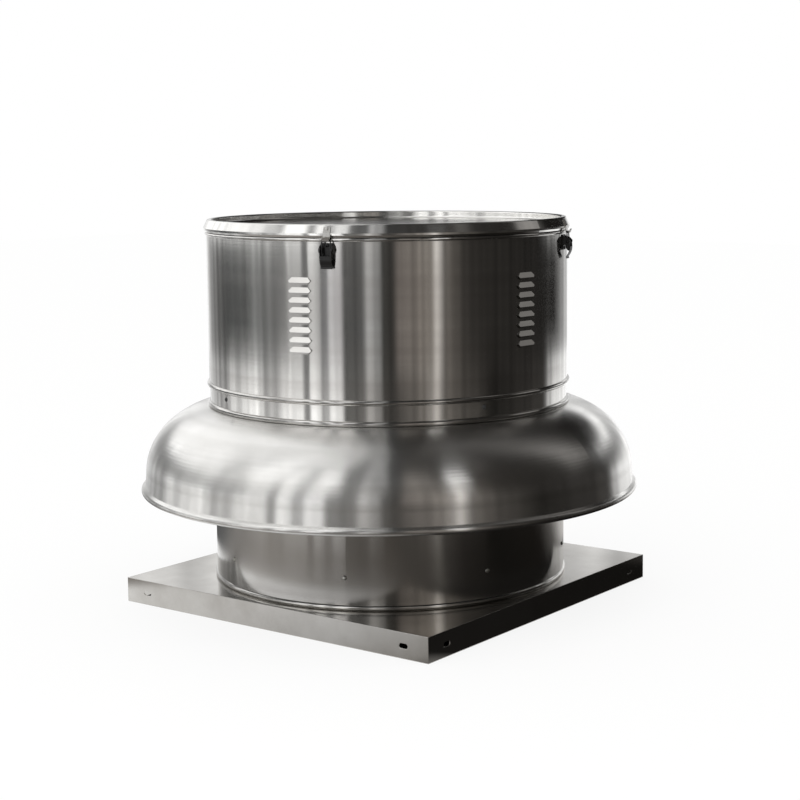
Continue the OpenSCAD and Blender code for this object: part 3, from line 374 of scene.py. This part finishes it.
def makeFloor(setup):
    half = setup["size"] / 2
    mesh = bpy.data.meshes.new("floor")
    corners = [(-half, -half, 0), (half, -half, 0), (half, half, 0), (-half, half, 0)]
    mesh.from_pydata(corners, [], [(0, 1, 2, 3)])
    floor = bpy.data.objects.new("floor", mesh)
    bpy.context.scene.collection.objects.link(floor)
    material, tree, place = startMaterial("whiteFloor")
    positive = addNode(tree, "ShaderNodeVectorMath", {"operation": "ABSOLUTE"}, {0: place})
    parts = addNode(tree, "ShaderNodeSeparateXYZ", {}, {"Vector": positive["Vector"]})
    reach = addNode(tree, "ShaderNodeMath", {"operation": "MAXIMUM"}, {0: parts["X"], 1: parts["Y"]})
    # mask of the painted shade: 1 outside the cap's square, 0 inside it
    outside = addNode(tree, "ShaderNodeMath", {
        "operation": "GREATER_THAN", 1: setup["paintedShadeHalf"],
    }, {0: reach["Value"]})
    # the floor's own white outside the square, and near black inside it as painted shade
    colour = addNode(tree, "ShaderNodeValToRGB", {}, {"Fac": outside["Value"]},
                     [(0.0, setup["paintedShadeColour"]), (1.0, setup["colour"])])
    matt = addNode(tree, "ShaderNodeBsdfDiffuse", {}, {"Color": colour["Color"]})
    white = addNode(tree, "ShaderNodeEmission")
    # rays that show the floor directly or in metal or glass see it nearly white, with some of its shadow left
    rays = addNode(tree, "ShaderNodeLightPath")
    seen = addNode(tree, "ShaderNodeMath", {"operation": "MAXIMUM"},
                   {0: rays["Is Camera Ray"], 1: rays["Is Glossy Ray"]})
    anySeen = addNode(tree, "ShaderNodeMath", {"operation": "MAXIMUM"},
                      {0: seen["Value"], 1: rays["Is Transmission Ray"]})
    glow = addNode(tree, "ShaderNodeMath", {
        "operation": "MULTIPLY", 1: setup["glow"],
    }, {0: anySeen["Value"]})
    # the glow is turned off inside the square, so the painted shade stays dark
    share = addNode(tree, "ShaderNodeMath", {"operation": "MULTIPLY"},
                    {0: glow["Value"], 1: outside["Value"]})
    both = addNode(tree, "ShaderNodeMixShader", {},
                   {0: share["Value"], 1: matt["BSDF"], 2: white["Emission"]})
    addNode(tree, "ShaderNodeOutputMaterial", {}, {"Surface": both["Shader"]})
    mesh.materials.append(material)


# Tent of grey cards that shows only in reflections: its bars are the streaks in the drums, the bell and the
# lid. Each list has tones by angle from the camera's direction, counter-clockwise seen from above: a drum
# mirrors an angle at the place where its own surface is turned by half of it. The lists go upwards: near and
# floor lie on the floor, low, wall and upper stand round it, slope and top lean in and lamps is the peak.
tent = {
    "radius": 1.5, "innerRadius": 0.05, "floorGap": 0.001, "wallHeight": 1.0, "topHeight": 2.6,
    "sides": 96, "rings": 9, "strength": 1.5,
    "streakCount": 90.0, "streakDetail": 2.0, "streakDepth": 0.28, "streakLow": 0.3, "streakHigh": 0.7,
    # seen from this height at the shaft, each list takes over from the one below it between these angles
    "middle": 0.4,
    "limits": {
        "floor": (-34, -30), "low": (-17, -14), "wall": (-4, -1.5), "upper": (8, 12), "slope": (13, 19),
        "top": (34, 42), "lamps": (88, 89.5),
    },
    "near": [
        (-180, "#C8C8C8"), (-80, "#D4D4D4"), (-20, "#A8A8A8"), (2, "#868482"), (14, "#181716"),
        (100, "#141312"), (140, "#909090"), (180, "#C8C8C8"),
    ],
    "floor": [
        (-180, "#707070"), (-160, "#404040"), (-149, "#383838"), (-118, "#5C5C5C"), (-105, "#767472"),
        (-73, "#807C78"), (-49, "#74706C"), (-37, "#64605C"), (-24, "#54504C"), (-11, "#46423E"),
        (0, "#46423E"), (9, "#3A3734"), (20, "#3A3734"), (25, "#42403C"), (29, "#2C2A28"),
        (38, "#1E1C1A"), (60, "#12110F"), (94, "#161412"), (109, "#484644"), (125, "#A4A2A0"),
        (150, "#B0AEAC"), (180, "#707070"),
    ],
    "low": [
        (-180, "#707070"), (-150, "#C8C8C8"), (-128, "#A8A8A8"), (-112, "#989898"), (-106, "#E8E8E8"),
        (-98, "#C0C0C0"), (-90, "#FFFFFF"), (-82, "#FFFFFF"), (-74, "#B8B8B8"), (-66, "#C4C4C4"),
        (-60, "#FFFFFF"), (-49, "#F8F8F8"), (-47.5, "#989898"), (-45, "#989898"), (-43.5, "#FFFFFF"),
        (-38, "#FFFFFF"), (-36.5, "#A0A0A0"), (-34, "#A0A0A0"), (-32.5, "#FFFFFF"), (-26, "#E8E8E8"),
        (-24, "#646462"), (-14, "#6C6A68"), (-12, "#9C9A98"), (-5, "#949290"), (-3, "#403E3C"),
        (4, "#3C3A38"), (20, "#706C68"), (26, "#B4B0AC"), (31, "#605C58"), (60, "#1E1D1B"),
        (104, "#3A3836"), (118, "#E0E0E0"),
    ],
    "wall": [
        (-180, "#E0E0E0"), (-150, "#D0D0D0"), (-138, "#8C8C8C"), (-120, "#565656"), (-106, "#3C3E3E"),
        (-88, "#3C3E3E"), (-82, "#626464"), (-60, "#5C5C5C"), (-57, "#A0A0A0"), (-49, "#9C9C9C"),
        (-47.5, "#6A6A6A"), (-45, "#6A6A6A"), (-43.5, "#B4B4B4"), (-38, "#B0B0B0"), (-36.5, "#5E5E60"),
        (-34, "#5E5E60"), (-32.5, "#B8B8BA"), (-26, "#A09EA0"), (-24, "#464646"), (-14, "#505050"),
        (-12, "#969696"), (-5, "#909090"), (-3, "#323230"), (3, "#363432"), (5, "#706A66"),
        (24, "#807A74"), (26, "#B8B4B0"), (29, "#B4B0AC"), (31, "#5E5A56"), (47, "#2E2C2A"),
        (118, "#1A1918"), (146, "#B0B0B0"),
    ],
    "upper": [
        (-180, "#A8A8A8"), (-150, "#C0C0C0"), (-128, "#FFFFFF"), (-88, "#FFFFFF"), (-68, "#F0F0F0"),
        (-61, "#A8A8A8"), (-57, "#FFFFFF"), (-49, "#F8F8F8"), (-47.5, "#909090"), (-45, "#909090"),
        (-43.5, "#FFFFFF"), (-38, "#FFFFFF"), (-36.5, "#949494"), (-34, "#949494"), (-32.5, "#FFFFFF"),
        (-26, "#F0F0F0"), (-24, "#6C6A68"), (-14, "#6C6A68"), (-12, "#A8A6A4"), (-5, "#A4A2A0"),
        (-3, "#3C3A38"), (4, "#3C3A38"), (8, "#5A5652"), (24, "#807C78"), (26, "#BCB8B4"),
        (29, "#B8B4B0"), (31, "#54504C"), (45, "#262422"), (100, "#141312"), (112, "#C0C0C0"),
        (130, "#FFFFFF"), (170, "#B0B0B0"),
    ],
    "slope": [
        (-180, "#2C2C2C"), (-136, "#F4F4F4"), (-84, "#E8E8E8"), (-76, "#909090"), (-64, "#FFFFFF"),
        (-49, "#FFFFFF"), (-47, "#A0A0A0"), (-44, "#FFFFFF"), (-38, "#FFFFFF"), (-36, "#7C7C7C"),
        (-33, "#7C7C7C"), (-31, "#FFFFFF"), (-22, "#FFFFFF"), (-20, "#646464"), (-13, "#646464"),
        (-11, "#8C8C8C"), (-2, "#848484"), (0, "#484848"), (5, "#484848"), (7, "#807C78"),
        (15, "#807C78"), (18, "#504E4C"), (23, "#504E4C"), (26, "#E8E8E8"), (32, "#E0E0E0"),
        (35, "#2A2826"), (54, "#242220"), (84, "#1E1D1B"), (88, "#7C7A78"), (104, "#7C7A78"),
        (108, "#161514"),
    ],
    "top": [
        (-180, "#2C2C2C"), (-170, "#484848"), (-158, "#7C7C7C"), (-146, "#A0A0A0"), (-136, "#F4F4F4"),
        (-84, "#D8D8D8"), (-74, "#D0D0D0"), (-72, "#6C6C6C"), (-68, "#6C6C6C"), (-66, "#FFFFFF"),
        (-52, "#FFFFFF"), (-50, "#585858"), (-47, "#585858"), (-45, "#E8E8E8"), (-41, "#E8E8E8"),
        (-38, "#4C4C4C"), (-35.5, "#4C4C4C"), (-33, "#D0D0D0"), (-26, "#C0C0C0"), (-23, "#404040"),
        (-13, "#404040"), (-10, "#8C8C8C"), (-4, "#888888"), (-1, "#2C2C2C"), (38, "#2C2B2A"),
        (46, "#545250"), (56, "#2A2928"), (84, "#1E1D1C"), (88, "#7C7A78"), (104, "#7C7A78"),
        (108, "#161514"), (180, "#242322"),
    ],
    "lamps": [(-180, "#FFFFFF"), (180, "#FFFFFF")],
}


def stopsByAngle(tones):
    return [((angle + 180) / 360, code) for angle, code in tones]


def makeTentMesh(setup):
    sides, radius, rings = setup["sides"], setup["radius"], setup["rings"]
    wallHeight, gap = setup["wallHeight"], setup["floorGap"]
    rise = setup["topHeight"] - wallHeight
    profile = [(setup["innerRadius"], gap), (radius / 2, gap), (radius, gap), (radius, wallHeight)]
    for i in range(1, rings):
        turn = math.pi / 2 * i / rings
        profile.append((radius * math.cos(turn), wallHeight + rise * math.sin(turn)))
    points = [(r * math.cos(2 * math.pi * i / sides), r * math.sin(2 * math.pi * i / sides), z)
              for r, z in profile for i in range(sides)]
    faces = []
    for j in range(len(profile) - 1):
        for i in range(sides):
            low = j * sides
            after = (i + 1) % sides
            faces.append((low + i, low + after, low + sides + after, low + sides + i))
    last = (len(profile) - 1) * sides
    points.append((0, 0, setup["topHeight"]))
    faces += [(last + i, last + (i + 1) % sides, len(points) - 1) for i in range(sides)]
    mesh = bpy.data.meshes.new("greyTent")
    mesh.from_pydata(points, [], faces)
    return mesh


def makeTent(setup):
    mesh = makeTentMesh(setup)
    wall = bpy.data.objects.new("greyTent", mesh)
    bpy.context.scene.collection.objects.link(wall)
    wall.visible_camera = False
    wall.visible_diffuse = False
    wall.visible_shadow = False
    material, tree, place = startMaterial("greyCards")
    turned = addNode(tree, "ShaderNodeVectorRotate", {
        "rotation_type": "Z_AXIS", "Angle": -math.radians(cameraSetup["azimuth"]),
    }, {"Vector": place})
    parts = addNode(tree, "ShaderNodeSeparateXYZ", {}, {"Vector": turned["Vector"]})
    angle = addNode(tree, "ShaderNodeMath", {"operation": "ARCTAN2"}, {0: parts["Y"], 1: parts["X"]})
    share = addNode(tree, "ShaderNodeMapRange", {
        "From Min": -math.pi, "From Max": math.pi,
    }, {"Value": angle["Value"]})["Result"]
    flat = addNode(tree, "ShaderNodeCombineXYZ", {}, {"X": parts["X"], "Y": parts["Y"]})
    reach = addNode(tree, "ShaderNodeVectorMath", {"operation": "LENGTH"}, {0: flat["Vector"]})
    height = addNode(tree, "ShaderNodeMath", {
        "operation": "SUBTRACT", 1: setup["middle"],
    }, {0: parts["Z"]})
    lift = addNode(tree, "ShaderNodeMath", {"operation": "ARCTAN2"},
                   {0: height["Value"], 1: reach["Value"]})
    colour = addNode(tree, "ShaderNodeValToRGB", {}, {"Fac": share}, stopsByAngle(setup["near"]))["Color"]
    begins = {}
    for name, (low, high) in setup["limits"].items():
        begins[name] = addNode(tree, "ShaderNodeMapRange", {
            "interpolation_type": "SMOOTHSTEP",
            "From Min": math.radians(low), "From Max": math.radians(high),
        }, {"Value": lift["Value"]})["Result"]
        tones = addNode(tree, "ShaderNodeValToRGB", {}, {"Fac": share}, stopsByAngle(setup[name]))
        colour = addNode(tree, "ShaderNodeMixRGB", {}, {
            "Fac": begins[name], "Color1": colour, "Color2": tones["Color"],
        })["Color"]
    streaks = addNode(tree, "ShaderNodeTexNoise", {
        "noise_dimensions": "1D", "Scale": setup["streakCount"], "Detail": setup["streakDetail"],
    }, {"W": share})
    streaked = addNode(tree, "ShaderNodeMapRange", {
        "From Min": setup["streakLow"], "From Max": setup["streakHigh"],
        "To Min": setup["strength"] * (1 - setup["streakDepth"]),
        "To Max": setup["strength"] * (1 + setup["streakDepth"]),
    }, {"Value": streaks["Fac"]})
    # only the standing cards, from the low list up, are streaked: the floor is even
    power = addNode(tree, "ShaderNodeMix", {2: setup["strength"]},
                    {0: begins["low"], 3: streaked["Result"]})
    glow = addNode(tree, "ShaderNodeEmission", {}, {"Color": colour, "Strength": power[0]})
    addNode(tree, "ShaderNodeOutputMaterial", {}, {"Surface": glow["Emission"]})
    mesh.materials.append(material)


# Even white surroundings and one soft lamp above the camera's side, aimed at the foot of the fan
lights = {
    "worldColour": "#FFFFFF", "worldStrength": 1.0, "keyPower": 25.0, "keySize": 2.4,
    "keyPlace": (0.6, -2.9, 3.2),
}


def makeLights(setup):
    world = bpy.data.worlds.new("studio")
    world.use_nodes = True
    world.node_tree.nodes.clear()
    sky = addNode(world.node_tree, "ShaderNodeBackground", {
        "Color": hexToLinear(setup["worldColour"]), "Strength": setup["worldStrength"],
    })
    addNode(world.node_tree, "ShaderNodeOutputWorld", {}, {"Surface": sky["Background"]})
    bpy.context.scene.world = world
    data = bpy.data.lights.new("keyLight", "AREA")
    data.energy = setup["keyPower"]
    data.size = setup["keySize"]
    key = bpy.data.objects.new("keyLight", data)
    bpy.context.scene.collection.objects.link(key)
    key.location = setup["keyPlace"]
    key.rotation_euler = (-key.location).to_track_quat("-Z", "Y").to_euler()
    bpy.context.scene.view_settings.view_transform = "Standard"


makeFloor(floorSetup)
makeTent(tent)
makeLights(lights)
print("studio ready")
